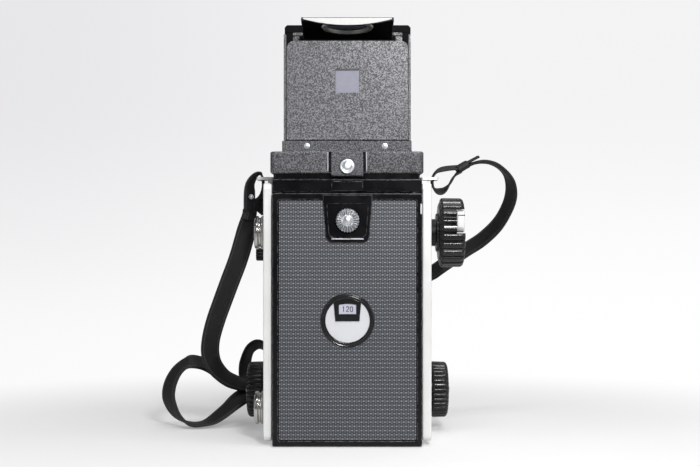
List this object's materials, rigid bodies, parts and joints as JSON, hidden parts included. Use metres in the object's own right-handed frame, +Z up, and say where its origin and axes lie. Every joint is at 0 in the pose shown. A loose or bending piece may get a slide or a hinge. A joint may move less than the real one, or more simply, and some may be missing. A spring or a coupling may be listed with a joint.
{
  "type": "twin lens reflex camera",
  "caption": "Twin lens reflex camera with hinged back, folding viewing hood and magnifier, rack focusing front, wind knob and a looped neck strap.",
  "frame": {"origin": "Centre of the base plate's underside", "axes": "X is the viewer's right, Y points from the back door towards the subject, Z is up"},
  "size_m": [0.2081, 0.1191, 0.2365],
  "materials": {
    "silver_paint": "satin",
    "chrome_plate": "polished",
    "steel": "plain",
    "brass": "plain",
    "black_paint": "satin",
    "wrinkle_paint": "wrinkle",
    "leatherette": "woven grain",
    "black_plastic": "satin",
    "white_enamel": "gloss",
    "black_rubber": "matte",
    "bellows_cloth": "matte",
    "glass": "polished",
    "mirror": "polished"
  },
  "bodies": {
    "camera_body": {"left_casting": "silver_paint", "right_casting": "silver_paint", "base_plate": "black_paint", "door_hinge_pin": "steel", "tripod_socket": "steel", "rear_top_bar": "black_paint", "top_deck": "black_paint", "film_chamber": "black_paint", "reflex_mirror": "mirror", "focusing_screen": "glass", "front_frame": "black_paint", "bellows": "bellows_cloth", "left_strap_lug": "steel", "right_strap_lug": "steel", "hood_base": "wrinkle_paint", "hood_frame": "wrinkle_paint", "neck_strap": "black_rubber", "left_strap_loop": "black_rubber", "right_strap_loop": "black_rubber"},
    "door": {"back_door": "black_paint", "door_leatherette": "leatherette", "latch_plate": "black_paint", "film_type_ring": "black_plastic", "film_type_plate": "white_enamel"},
    "lock_dial": {"lock_dial": "chrome_plate"},
    "latch_bolt": {"latch_bolt": "steel"},
    "number_disc": {"film_number_disc": "white_enamel"},
    "pressure_plate": {"pressure_plate": "black_paint"},
    "front": {"front_standard": "silver_paint", "lens_panel": "black_paint", "viewing_lens_barrel": "black_paint", "viewing_lens_glass": "glass", "shutter_housing": "black_paint", "taking_lens_glass": "glass", "left_focus_rack": "brass", "right_focus_rack": "brass"},
    "speed_ring": {"speed_ring": "chrome_plate"},
    "aperture_ring": {"aperture_ring": "black_paint"},
    "cocking_lever": {"cocking_lever": "chrome_plate"},
    "lens_lock": {"lens_lock_knob": "black_plastic"},
    "focus_knobs": {"focus_shaft": "steel", "left_focus_knob": "black_plastic", "right_focus_knob": "black_plastic"},
    "winder": {"wind_shaft": "black_paint", "wind_knob": "black_plastic"},
    "crank": {"wind_crank": "chrome_plate"},
    "take_up": {"take_up_spool": "black_paint"},
    "upper_knob": {"upper_spool_knob": "silver_paint"},
    "lower_knob": {"lower_spool_knob": "silver_paint"},
    "roller_upper": {"upper_roller": "chrome_plate"},
    "roller_lower": {"lower_roller": "chrome_plate"},
    "hood_button": {"hood_lock_button": "chrome_plate"},
    "rear_panel": {"rear_hood_panel": "wrinkle_paint"},
    "blind_left": {"left_blind": "wrinkle_paint"},
    "blind_right": {"right_blind": "wrinkle_paint"},
    "lid": {"hood_lid": "wrinkle_paint"},
    "magnifier": {"magnifier_frame": "black_paint", "magnifier_lens": "glass"}
  },
  "joints": [
    {"name": "back_door_hinge", "type": "hinge", "parent": "camera_body", "child": "door", "pos_m": [0, -0.0356, 0.0017], "axis": [1, 0, 0], "range_deg": [0, 90]},
    {"name": "latch_bolt_slide", "type": "slide", "parent": "door", "child": "latch_bolt", "axis": [0, 0, 1], "range_m": [0, 0.0025]},
    {"name": "lock_dial_turn", "type": "hinge", "parent": "door", "child": "lock_dial", "pos_m": [0.0001, -0.041, 0.1203], "axis": [0, 1, 0], "range_deg": [0, 90.5]},
    {"name": "film_type_turn", "type": "hinge", "parent": "door", "child": "number_disc", "pos_m": [0.0001, -0.035, 0.0673], "axis": [0, 1, 0], "range_deg": [0, 90]},
    {"name": "pressure_plate_spring", "type": "slide", "parent": "door", "child": "pressure_plate", "axis": [0, -1, 0], "range_m": [0, 0.0012], "stiffness_N_per_m": 250, "springref_m": -0.002},
    {"name": "focus_slide", "type": "slide", "parent": "camera_body", "child": "front", "axis": [0, 1, 0], "range_m": [0, 0.05], "deforming": ["bellows"]},
    {"name": "focus_knob_turn", "type": "hinge", "parent": "camera_body", "child": "focus_knobs", "pos_m": [0, 0.026, 0.0228], "axis": [1, 0, 0], "range_deg": [-480, 0]},
    {"name": "speed_ring_turn", "type": "hinge", "parent": "front", "child": "speed_ring", "pos_m": [0, 0.0612, 0.0644], "axis": [0, 1, 0], "range_deg": [-60, 60]},
    {"name": "aperture_ring_turn", "type": "hinge", "parent": "front", "child": "aperture_ring", "pos_m": [0, 0.0653, 0.0644], "axis": [0, 1, 0], "range_deg": [-35, 35]},
    {"name": "cocking_lever_turn", "type": "hinge", "parent": "front", "child": "cocking_lever", "pos_m": [0, 0.0532, 0.0644], "axis": [0, 1, 0], "range_deg": [0, 45]},
    {"name": "lens_lock_turn", "type": "hinge", "parent": "front", "child": "lens_lock", "pos_m": [-0.045, 0.0425, 0.101], "axis": [1, 0, 0], "range_deg": [0, 90]},
    {"name": "wind_knob_turn", "type": "hinge", "parent": "camera_body", "child": "winder", "pos_m": [0, -0.017, 0.1139], "axis": [1, 0, 0], "continuous": true},
    {"name": "take_up_spool_turn", "type": "hinge", "parent": "camera_body", "child": "take_up", "pos_m": [0, -0.017, 0.1139], "axis": [1, 0, 0], "continuous": true},
    {"name": "wind_crank_fold", "type": "hinge", "parent": "winder", "child": "crank", "pos_m": [0.061, -0.0276, 0.1199], "axis": [0, 0, -1], "range_deg": [0, 180]},
    {"name": "upper_spool_knob_pull", "type": "slide", "parent": "camera_body", "child": "upper_knob", "axis": [-1, 0, 0], "range_m": [0, 0.007], "stiffness_N_per_m": 300, "springref_m": -0.004},
    {"name": "lower_spool_knob_pull", "type": "slide", "parent": "camera_body", "child": "lower_knob", "axis": [-1, 0, 0], "range_m": [0, 0.007], "stiffness_N_per_m": 300, "springref_m": -0.004},
    {"name": "upper_roller_turn", "type": "hinge", "parent": "camera_body", "child": "roller_upper", "pos_m": [0, -0.0275, 0.1009], "axis": [1, 0, 0], "continuous": true},
    {"name": "lower_roller_turn", "type": "hinge", "parent": "camera_body", "child": "roller_lower", "pos_m": [0, -0.0275, 0.0279], "axis": [1, 0, 0], "continuous": true},
    {"name": "hood_button_press", "type": "slide", "parent": "camera_body", "child": "hood_button", "axis": [0, 1, 0], "range_m": [0, 0.002], "stiffness_N_per_m": 400, "springref_m": -0.002},
    {"name": "rear_panel_fold", "type": "hinge", "parent": "camera_body", "child": "rear_panel", "pos_m": [0, -0.0323, 0.1639], "axis": [-1, 0, 0], "range_deg": [0, 90], "stiffness_Nm_per_rad": 0.02, "springref_deg": -34.38},
    {"name": "left_blind_fold", "type": "hinge", "parent": "camera_body", "child": "blind_left", "pos_m": [-0.0335, 0, 0.1587], "axis": [0, 1, 0], "range_deg": [0, 90], "stiffness_Nm_per_rad": 0.02, "springref_deg": -34.38},
    {"name": "right_blind_fold", "type": "hinge", "parent": "camera_body", "child": "blind_right", "pos_m": [0.0334, 0, 0.1605], "axis": [0, -1, 0], "range_deg": [0, 90], "stiffness_Nm_per_rad": 0.02, "springref_deg": -34.38},
    {"name": "lid_fold", "type": "hinge", "parent": "camera_body", "child": "lid", "pos_m": [0, 0.037, 0.1709], "axis": [1, 0, 0], "range_deg": [0, 90], "stiffness_Nm_per_rad": 0.05, "springref_deg": -34.38},
    {"name": "magnifier_fold", "type": "hinge", "parent": "lid", "child": "magnifier", "pos_m": [0, 0.032, 0.2284], "axis": [1, 0, 0], "range_deg": [0, 95.5]}
  ],
  "couplings": [
    {"joint": "lock_dial_turn", "follows": "latch_bolt_slide", "rad_per_m": 628.32},
    {"joint": "focus_knob_turn", "follows": "focus_slide", "rad_per_m": -166.67},
    {"joint": "take_up_spool_turn", "follows": "wind_knob_turn", "ratio": 1},
    {"joint": "magnifier_fold", "follows": "lid_fold", "ratio": 1.0556}
  ]
}
